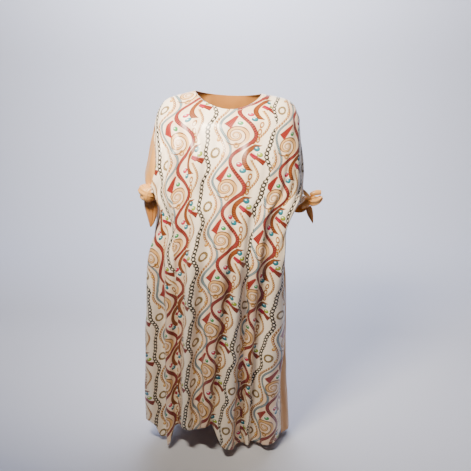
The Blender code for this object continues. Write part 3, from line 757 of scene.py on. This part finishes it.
class Print:
    """Paints the print's motifs over each other, from its place `s` across and `t` down, in millimetres."""

    def __init__(self, tree):
        place = add_node(tree, "ShaderNodeUVMap", uv_map="print").outputs["UV"]
        axes = add_node(tree, "ShaderNodeSeparateXYZ", {"Vector": place})
        self.tree = tree
        self.known = {name: formula(tree, "1000 * x", x=axes.outputs[i]) for i, name in enumerate("st")}
        self.colour = linear_colour("#F8EAD6")

    def value(self, text, **more):
        return formula(self.tree, text, turn=TURN, **self.known, **more)

    def paint(self, where, first, second=None, share=None, **more):
        """Covers `where` with one colour, or with two mixed by the formula `share`."""
        ink = first
        if second:
            ink = mixed(self.tree, self.value(share, **more), first, second)
        self.colour = mixed(self.tree, self.value(where, **more), self.colour, ink)

    def links(self, centre, pitch, radius, thickness, colours, limit="1"):
        """A chain of round links along a line."""
        d, k = self.value(beside(centre)), self.value(f"wrap(t, {pitch / 2}, {-pitch / 2})")
        r = self.value("sqrt(d * d + k * k)", d=d, k=k)
        inside = f"less(abs(r - {radius}), {thickness / 2}) * {limit}"
        self.paint(inside, *colours, f"less(d + 0.6 * k, {-radius * 0.35})", r=r, d=d, k=k)

    def cord(self, centre, slope, half_width, pitch, lean, colours, limit="1"):
        """A twisted cord along a line, its strands as slanted stripes and its two sides in shade."""
        d = self.value(f"{beside(centre)} / sqrt(1 + ({slope}) ** 2)")
        strands = f"0.5 + 0.5 * sin(t * {2 * math.pi / pitch} + d * {lean})"
        sides = f"less({half_width * 0.72}, abs(d))"
        self.paint(f"less(abs(d), {half_width}) * {limit}", *colours, f"max({strands}, {sides})", d=d)

    def tassel(self, start, end, widths, colours, strands):
        """A tassel from its knot to its end, with strands along it."""
        run = np.subtract(end, start)
        length = float(np.hypot(*run))
        over, along = run / length
        p, q = self.value(beside(start[0])), self.value(below(start[1]))
        a = self.value(f"p * {over} + q * {along}", p=p, q=q)
        width = f"({widths[0]} + a * {(widths[1] - widths[0]) / length})"
        b = self.value(f"(p * {along} - q * {over}) / {width}", p=p, q=q, a=a)
        inside = f"less(abs(b), 1) * less(abs(a - {length / 2}), {length / 2})"
        self.paint(inside, *colours, f"0.5 + 0.5 * sin(b * {strands})", a=a, b=b)

    def stone(self, across, down, half_width, half_height, colour, shade):
        """A cut stone, darker at its rim and lit at one side."""
        p, q = self.value(f"{beside(across)} / {half_width}"), self.value(f"{below(down)} / {half_height}")
        r = self.value("p * p + q * q", p=p, q=q)
        self.paint("less(r, 1)", colour, shade, "max(0, min(1, r * 0.9 + 0.35 * q))", r=r, q=q)
        glint = "(p + 0.3) * (p + 0.3) * 4 + (q + 0.38) * (q + 0.38) * 9"
        self.paint(f"less({glint}, 0.45)", "#F4FBFA", p=p, q=q)

    def ring(self, across, down, radius, thickness, colours, beads=0):
        """A ring, of beads or plain with a darker edge."""
        p, q = self.value(beside(across)), self.value(below(down))
        r = self.value("sqrt(p * p + q * q)", p=p, q=q)
        share = f"less(abs(r - {radius}), {thickness / 5})"
        if beads:
            share = f"0.5 + 0.5 * sin(atan2(q, p) * {beads})"
        self.paint(f"less(abs(r - {radius}), {thickness / 2})", *colours, share, p=p, q=q, r=r)

    def spiral(self, across, down, radius, shrink, spread, colours):
        """A scroll that winds inwards: it shrinks by e^-shrink in each radian."""
        p, q = self.value(beside(across)), self.value(below(down))
        r = self.value("max(0.5, sqrt(p * p + q * q * 1.5))", p=p, q=q)
        turns = f"log(r / {radius}, 2.718282) / {-shrink} - atan2(0 - q, p)"
        e = self.value(f"wrap({turns}, {math.pi}, {-math.pi}) * r * {shrink}", p=p, q=q, r=r)
        inside = f"less(abs(e), {spread} * r) * less(r, {radius * 1.15}) * less({radius * 0.16}, r)"
        self.paint(inside, *colours, f"less({spread * 0.56} * r, abs(e))", e=e, r=r)

    def disc(self, across, down, area, colour):
        """A dot whose radius squared is `area`."""
        self.paint(f"less({beside(across)} ** 2 + {below(down)} ** 2, {area})", colour)


def printed(name):
    """Printed satin: chains, cords, tassels, scrolls and stones on a cream ground, all from the chart's numbers
    in millimetres. The ink sinks into the cloth, so the satin's gloss lies over every colour alike."""
    made, tree, shader = new_material(name)
    art = Print(tree)
    for middle, half_width, fade, strength, colour in GROUNDS:
        art.paint(f"{strength} * max(0, min(1, ({half_width} - abs({beside(middle)})) / {fade}))", colour)
    # bare pale cloth round each stone
    for across, down, half_width, half_height, *_ in STONES:
        halo = f"({beside(across)} / {half_width}) ** 2 + ({below(down)} / {half_height}) ** 2"
        art.paint(f"0.7 * max(0, min(1, 2.8 - ({halo})))", "#FBF3E6")
    # the fine gold chain, in short stretches, and the oval links beside it
    stretch = f"less(abs({below('140')}), 66)"
    art.links("-46 + 21 * cos((t - 135) * turn)", FINE_LINK, 3.0, 3.8, ("#855520", "#C2924A"), stretch)
    oval = f"sqrt(({beside('167')} / 6.5) ** 2 + (wrap(t - 160, 13.2, -13.2) / 11.5) ** 2)"
    art.paint(f"less(abs({oval} - 0.82), 0.28) * less(abs({below('160')}), 40)", "#965F24")
    # the rust cord, bent like a bow
    bow, slope = f"137 + 37 * ({below('71')} / 51.8) ** 2", f"0.0276 * {below('71')}"
    art.cord(bow, slope, 7.6, 6.0, 0.5, ("#94502A", "#55290F"), f"less(abs({below('66')}), 47)")
    # the gold chain with its two beads, and the silver and the red cord
    art.links(sway(42, 21, 61)[0], GOLD_LINK, 4.0, 4.2, ("#85531F", "#C9954F"))
    for across, down in ((36, 17), (60, 70)):
        art.disc(across, down, 58, "#B47B35")
        art.disc(across - 1.5, down - 2, 14, "#EFCB82")
    art.cord(*sway(62, 25, 59), 4.6, 5.2, 0.9, ("#93A5AD", "#4D5C63"))
    art.cord(*sway(125, 33, -7), 6.6, 6.6, 0.7, ("#99403A", "#581C19"))
    # the scroll and its ring, the tassels and the beaded ring
    art.spiral(94, 0, 39, 0.15, 0.27, ("#D9AA6E", "#663A16"))
    art.ring(103, 34, 7.5, 5.0, ("#7C4F22", "#C08E4A"))
    art.tassel((89, 109), (60, 158), (4.0, 15.0), ("#A63B33", "#641818"), 13)
    art.tassel((-63, 54), (-40, 66), (5.5, 8.5), ("#A92A40", "#7A1626"), 6)
    art.tassel((-42, 64), (-12, 80), (5.5, 10.0), ("#8A3626", "#561E17"), 7)
    art.ring(28, 60, 14.5, 8.2, ("#4A3C27", "#A58A58"), beads=14)
    # the dark chain, with a bar between each two links
    art.links(DARK_CHAIN, DARK_LINK, 6.2, 5.2, ("#26221C", "#585045"))
    bars = f"less(abs(wrap(t - {DARK_LINK / 2}, {DARK_LINK / 2}, {-DARK_LINK / 2})), 3.2)"
    art.paint(f"less(abs({beside(DARK_CHAIN)}), 2.2) * {bars}", "#24221E")
    for stone in STONES:
        art.stone(*stone)
    # cream thread, and a beige painted shade along each hem's fold
    satin(tree, shader, stitched(tree, art.colour, "#E9D9BF", "#B9A184"))
    return made


# The back's right side: dyed satin, tan in the shade of a fold and honey-coloured where it catches light.
# hems: honey thread, and a brown painted shade along each hem's fold
tan_satin = plain_satin("tan_satin", ("#C18847", "#D59E5C"), hems=("#E0B67C", "#9A6833"))
# The same satin pulled tight in the ties, painted lighter and yellower there: a lit copy of it, standing in for
# the light the ties catch.
tie_satin = plain_satin("tan_tie_satin", ("#D0924A", "#E7AD63"))
# The printed satin's wrong side: hardly any ink comes through, so it's pale and plain.
inside_satin = plain_satin("cream_satin_wrong_side", ("#E9DDD0", "#F1E7DC"))
# The dyed satin's wrong side, a shade duller and browner.
tan_inside = plain_satin("tan_satin_wrong_side", ("#A8713C", "#B98045"))
printed_satin = printed("printed_cream_satin")

# ---------------------------------------------------------------- the robe
FRONT = Panel("front", "left", "right", FRONT_HEM, neck_depth=0.088, neck_drop=0.055)
BACK = Panel("back", "right", "left", BACK_HEM, neck_depth=0.058, neck_drop=0.016)
make_panel("printed_front", "front_panel", FRONT, (printed_satin, inside_satin))
make_panel("tan_back", "back_panel", BACK, (tan_satin, tan_inside))


# ---------------------------------------------------------------- the ties
def smooth_stations(stations, count):
    """The rows of a table on a smooth curve through them."""
    rows = np.array(stations, float)
    rows = np.concatenate([2 * rows[:1] - rows[1:2], rows, 2 * rows[-1:] - rows[-2:-1]])
    at = np.linspace(1, len(rows) - 2, count)
    i = np.minimum(at.astype(int), len(rows) - 3)
    t = (at - i)[:, None]
    before, start, end, after = rows[i - 1], rows[i], rows[i + 1], rows[i + 2]
    cubic = 3 * (start - end) + after - before
    square = 2 * before - 5 * start + 4 * end - after
    return start + t / 2 * (end - before + t * (square + t * cubic))


def lay_strip(bm, stations, folds, depth, facing=(0, -1, 0), count=48, columns=36):
    """A pleated strip of cloth through stations (x, y, z, width, curl), with its edges curled back."""
    rows = smooth_stations(stations, count)
    travel = np.gradient(rows[:, :3], axis=0)
    grid = bmesh.ops.create_grid(bm, x_segments=columns, y_segments=count - 1, size=1)
    for vertex in grid["verts"]:
        row, share = round((vertex.co.y + 1) / 2 * (count - 1)), vertex.co.x
        x, y, z, width, curl = rows[row]
        heading = Vector(travel[row]).normalized()
        sideways = heading.cross(Vector(facing)).normalized()
        outward = sideways.cross(heading)
        drift = 1.7 * math.sin(2.3 * row / count)
        pleat = depth * math.sin(folds * math.pi * share + drift) * (1 - 0.4 * share**2)
        over = math.sin(curl * share) / curl * width / 2
        back = (1 - math.cos(curl * share)) / curl * width / 2
        vertex.co = Vector((x, y, z)) + sideways * over + outward * (pleat * min(1, width / 0.02) - back)


def lay_roll(bm, stations, folds, depth, count=40, sides=28):
    """A roll of gathered cloth through stations (x, y, z, width, thickness), with tucks along it."""
    rows = smooth_stations(stations, count)
    travel = np.gradient(rows[:, :3], axis=0)
    rings = []
    angles = [2 * math.pi * i / sides for i in range(sides)]
    for row, ((x, y, z, width, thickness), heading) in enumerate(zip(rows, travel)):
        heading = Vector(heading).normalized()
        sideways = heading.cross(Vector((0, -1, 0.2))).normalized()
        through = sideways.cross(heading)
        drift = 3 * math.sin(row / count * 2.4)
        ring = []
        for angle in angles:
            swell = 1 + depth * math.sin(folds * angle + drift) + depth / 2 * math.sin(2.7 * folds * angle)
            over, under = math.cos(angle) * width / 2 * swell, math.sin(angle) * thickness / 2 * swell
            ring.append(bm.verts.new(Vector((x, y, z)) + sideways * over + through * under))
        rings.append(ring)
    for ring, following in zip(rings, rings[1:]):
        for i in range(sides):
            bm.faces.new((ring[i], ring[(i + 1) % sides], following[(i + 1) % sides], following[i]))
    bm.faces.new(rings[0][::-1])
    bm.faces.new(rings[-1])


CORE = 0.84  # a knot's size between its turns


def lay_knot(bm, centre, half, turns):
    """A ball of wound cloth. Each turn is a band about its own axis, (axis, offset, half width, lift), with
    creases that run along it."""
    made = bmesh.ops.create_uvsphere(bm, u_segments=72, v_segments=48, radius=1)
    axes = [(Vector(axis).normalized(), offset, wide, lift) for axis, offset, wide, lift in turns]
    for vertex in made["verts"]:
        away = vertex.co.normalized()
        reach = CORE
        for axis, offset, wide, lift in axes:
            from_middle = (away.dot(axis) - offset) / wide
            if abs(from_middle) < 1:
                band = math.sqrt(1 - from_middle**2) ** 0.6
                wide_tucks = 0.045 * math.sin(from_middle * 8 + 1.9 * away.x)
                fine_tucks = 0.026 * math.sin(from_middle * 19 + 3 * away.x)
                reach = max(reach, CORE + (lift + wide_tucks + fine_tucks) * band)
        vertex.co = Vector(centre) + Vector(side * reach * size for side, size in zip(away, half))


def finish_cloth(bm, name, node, skins, sheet=False):
    """Merges a bmesh's doubles, turns its faces outwards and makes its object."""
    bmesh.ops.remove_doubles(bm, verts=bm.verts, dist=1e-6)
    bmesh.ops.recalc_face_normals(bm, faces=bm.faces)
    return cloth_object(bm, name, node, skins, walled=sheet)


def knotted(name, node, centre, half, turns, roll=None):
    """A knot, and a roll of cloth that runs into it."""
    bm = bmesh.new()
    lay_knot(bm, centre, half, turns)
    if roll:
        lay_roll(bm, roll, folds=3, depth=0.08)
    finish_cloth(bm, name, node, (tie_satin,))


def pleated(name, node, skins, stations, folds, depth, facing=(0, -1, 0)):
    """A pleated strip as a sheet of its own."""
    bm = bmesh.new()
    lay_strip(bm, stations, folds, depth, facing)
    return finish_cloth(bm, name, node, skins, sheet=True)


def left_knot():
    turns = (
        ((0.22, -0.12, 0.97), 0.26, 0.56, 0.17),
        ((-0.10, -0.25, 0.96), -0.52, 0.25, 0.13),
        ((0.72, -0.62, -0.30), 0.66, 0.30, 0.21),
        ((0.90, -0.10, 0.42), 0.80, 0.20, 0.19),
    )
    knotted("left_knot", "left_tie_knot", (-0.3060, -0.0780, -0.3625), (0.0335, 0.029, 0.036), turns)


def left_cuff_gather():
    """The cuff's cloth, gathered into small rolls where the left tie draws it in."""
    bm = bmesh.new()
    rolls = (
        (-0.356, -0.104, 0.026, 0.011),
        (-0.343, -0.108, 0.029, 0.010),
        (-0.331, -0.106, 0.024, 0.009),
    )
    for height, near, reach, thick in rolls:
        stations = (
            (-0.289, near + 0.012, height - 0.004, 0.006, 0.005),
            (-0.282, near, height + 0.001, thick, thick),
            (-0.282 + reach * 0.55, near - 0.008, height + 0.004, thick * 1.1, thick),
            (-0.282 + reach, near - 0.006, height + 0.010, thick * 0.6, thick * 0.5),
        )
        lay_roll(bm, stations, folds=2, depth=0.07, count=18, sides=18)
    finish_cloth(bm, "left_cuff_gather", None, (inside_satin,))


def left_tail():
    """The left tie's end, hanging."""
    stations = (
        (-0.303, -0.062, -0.384, 0.030, 0.9),
        (-0.301, -0.058, -0.400, 0.048, 0.8),
        (-0.299, -0.054, -0.425, 0.053, 0.7),
        (-0.297, -0.050, -0.455, 0.045, 0.7),
        (-0.299, -0.047, -0.486, 0.026, 0.6),
        (-0.303, -0.045, -0.507, 0.006, 0.3),
    )
    made = pleated("left_tail", "left_tie_tail", (tie_satin, tan_inside), stations, folds=3.2, depth=0.0026)


def right_knot():
    turns = (
        ((0.30, -0.30, 0.90), 0.20, 0.42, 0.20),
        ((0.50, -0.45, -0.74), 0.40, 0.34, 0.18),
        ((0.90, -0.30, 0.30), 0.58, 0.30, 0.17),
    )
    roll = (
        (0.268, -0.040, -0.352, 0.013, 0.007),
        (0.282, -0.034, -0.366, 0.016, 0.009),
        (0.297, -0.026, -0.381, 0.015, 0.009),
        (0.309, -0.017, -0.394, 0.013, 0.009),
        (0.316, -0.006, -0.408, 0.010, 0.008),
    )
    knotted("right_knot", "right_tie_knot", (0.2965, 0.002, -0.4215), (0.0215, 0.022, 0.0255), turns, roll)


def right_cuff_roll():
    """The front's cuff, rolled into the right tie: three rolls of printed cloth side by side."""
    bm = bmesh.new()
    rolls = (
        ((0.229, -0.137, -0.403), (0.289, -0.042, -0.400), 0.0135),
        ((0.227, -0.136, -0.391), (0.288, -0.046, -0.387), 0.0130),
        ((0.231, -0.134, -0.378), (0.281, -0.060, -0.371), 0.0115),
    )
    for (x0, y0, z0), (x1, y1, z1), thick in rolls:
        stations = (
            (x0, y0, z0, thick * 0.5, thick * 0.5),
            (x0 * 0.85 + x1 * 0.15, y0 * 0.88 + y1 * 0.12, z0 + 0.001, thick * 0.95, thick),
            (x0 * 0.45 + x1 * 0.55, y0 * 0.56 + y1 * 0.44 - 0.004, (z0 + z1) / 2 + 0.003, thick * 1.1, thick),
            (x1, y1, z1, thick * 0.7, thick * 0.7),
        )
        lay_roll(bm, stations, folds=2, depth=0.07)
    print_map, *edge_maps = (bm.loops.layers.uv.new(key) for key in ("print", "border", "collar"))
    for face in bm.faces:
        for loop in face.loops:
            x, y, z = loop.vert.co
            loop[print_map].uv = (1.4 * x + 0.9 * y, -1.5 * z + 0.6 * y)
            for edge_map in edge_maps:
                loop[edge_map].uv = (0.5, 0.5)  # away from every hem
    finish_cloth(bm, "right_cuff_roll", None, (printed_satin,))


def right_back_cuff():
    """The back's cuff hangs open below the right knot, with its wrong side to the front."""
    stations = (
        (0.252, 0.022, -0.428, 0.020, 0.6),
        (0.262, 0.026, -0.440, 0.050, 1.1),
        (0.275, 0.024, -0.444, 0.056, 1.3),
        (0.290, 0.014, -0.442, 0.046, 1.2),
        (0.303, 0.004, -0.434, 0.022, 0.8),
    )
    skins = (tan_inside, tie_satin)
    made = pleated("right_back_cuff", None, skins, stations, folds=1.3, depth=0.0018, facing=(0, 1, 0))


def right_side_tail():
    """The right tie's end that stands out to the side, and its edge, turned over."""
    node = "right_tie_tail_side"
    stations = (
        (0.306, -0.002, -0.408, 0.030, 0.9),
        (0.316, -0.010, -0.411, 0.052, 1.1),
        (0.330, -0.015, -0.413, 0.066, 1.3),
        (0.345, -0.013, -0.411, 0.066, 1.6),
        (0.357, -0.004, -0.405, 0.052, 1.8),
        (0.364, 0.006, -0.398, 0.030, 1.6),
    )
    made = pleated("right_side_tail", node, (tie_satin, tan_inside), stations, folds=3.3, depth=0.0024)
    edge = (
        (0.316, 0.000, -0.390, 0.012, 0.010),
        (0.330, -0.001, -0.384, 0.018, 0.015),
        (0.345, 0.000, -0.381, 0.021, 0.017),
        (0.358, 0.002, -0.381, 0.018, 0.015),
    )
    bm = bmesh.new()
    lay_roll(bm, edge, folds=2, depth=0.05)
    fold = finish_cloth(bm, "right_side_tail_fold", node, (tie_satin,))


def right_down_tail():
    """The right tie's end that hangs."""
    stations = (
        (0.311, -0.004, -0.436, 0.022, 0.8),
        (0.315, -0.004, -0.450, 0.028, 0.9),
        (0.320, -0.003, -0.468, 0.026, 0.9),
        (0.326, -0.002, -0.487, 0.015, 0.8),
        (0.331, 0.000, -0.505, 0.003, 0.4),
    )
    skins = (tie_satin, tan_inside)
    made = pleated("right_down_tail", "right_tie_tail_down", skins, stations, folds=1.6, depth=0.0022)


left_knot()
left_cuff_gather()
left_tail()
right_knot()
right_cuff_roll()
right_back_cuff()
right_side_tail()
right_down_tail()


# ---------------------------------------------------------------- studio
SWEEP_BEND, SWEEP_WALL, SWEEP_REACH, SWEEP_STEPS = 1.6, 4.2, 12, 24


def studio_sweep(colour):
    """A floor of matt paper that curves up into a wall behind the robe."""
    start, top = SWEEP_WALL - SWEEP_BEND, FLOOR + SWEEP_BEND
    profile = [(-SWEEP_REACH, FLOOR), (start, FLOOR)]
    for i in range(1, SWEEP_STEPS + 1):
        angle = math.pi / 2 * i / SWEEP_STEPS
        profile.append((start + SWEEP_BEND * math.sin(angle), top - SWEEP_BEND * math.cos(angle)))
    profile.append((SWEEP_WALL, SWEEP_REACH))
    bm = bmesh.new()
    line = [bm.verts.new((-SWEEP_REACH, y, z)) for y, z in profile]
    edges = [bm.edges.new(pair) for pair in zip(line, line[1:])]
    swept = bmesh.ops.extrude_edge_only(bm, edges=edges)
    across = [piece for piece in swept["geom"] if isinstance(piece, bmesh.types.BMVert)]
    bmesh.ops.translate(bm, verts=across, vec=(2 * SWEEP_REACH, 0, 0))
    if sum(face.normal.z * face.calc_area() for face in bm.faces) < 0:
        bmesh.ops.reverse_faces(bm, faces=bm.faces)
    mesh = bpy.data.meshes.new("studio_sweep")
    bm.to_mesh(mesh)
    bm.free()
    mesh.shade_smooth()
    made = bpy.data.objects.new("studio_sweep", mesh)
    bpy.context.scene.collection.objects.link(made)
    skin, _, shader = new_material("studio_paper")
    shader.inputs["Base Color"].default_value = linear_colour(colour)
    shader.inputs["Roughness"].default_value = 0.9
    mesh.materials.append(skin)


def area_light(name, place, target, size, power, colour):
    """A square light that shines from its place towards a target."""
    lamp = bpy.data.lights.new(name, "AREA")
    lamp.size, lamp.energy, lamp.color = size, power, linear_colour(colour)[:3]
    made = bpy.data.objects.new(name, lamp)
    made.location = place
    made.rotation_euler = (Vector(target) - Vector(place)).to_track_quat("-Z", "Y").to_euler()
    bpy.context.scene.collection.objects.link(made)


def sky(colour, strength):
    """A faint even light from all sides."""
    world = bpy.data.worlds.new("studio")
    bpy.context.scene.world = world
    world.use_nodes = True
    light = world.node_tree.nodes["Background"]
    light.inputs["Color"].default_value = linear_colour(colour)
    light.inputs["Strength"].default_value = strength


def viewpoint(place, downwards, lens):
    """The camera, tilted downwards by these degrees."""
    camera = bpy.data.cameras.new("camera")
    camera.sensor_width, camera.lens = 36, lens
    viewer = bpy.data.objects.new("camera", camera)
    viewer.location, viewer.rotation_euler = place, (math.radians(90 - downwards), 0, 0)
    bpy.context.scene.collection.objects.link(viewer)
    bpy.context.scene.camera = viewer


studio_sweep("#CDD1DD")
area_light("key", (-0.5, -1.1, 0.75), (0, 0, 1.05), 0.45, 200, "#FFF1DA")
area_light("fill", (1.3, -2.0, -0.7), (0, 0, -0.9), 1.2, 3, "#FFC38A")
area_light("back_wash", (-0.2, 1.9, 2.7), (0.1, 4.2, 2.3), 1.4, 470, "#F2F3FF")
area_light("floor_wash", (0.2, 0.9, 0.2), (0.2, 1.2, FLOOR), 1.5, 30, "#EEF1FF")
sky("#E9EAF5", 0.06)
viewpoint((0.026, -2.30, 0.13), downwards=16.6, lens=46.2)
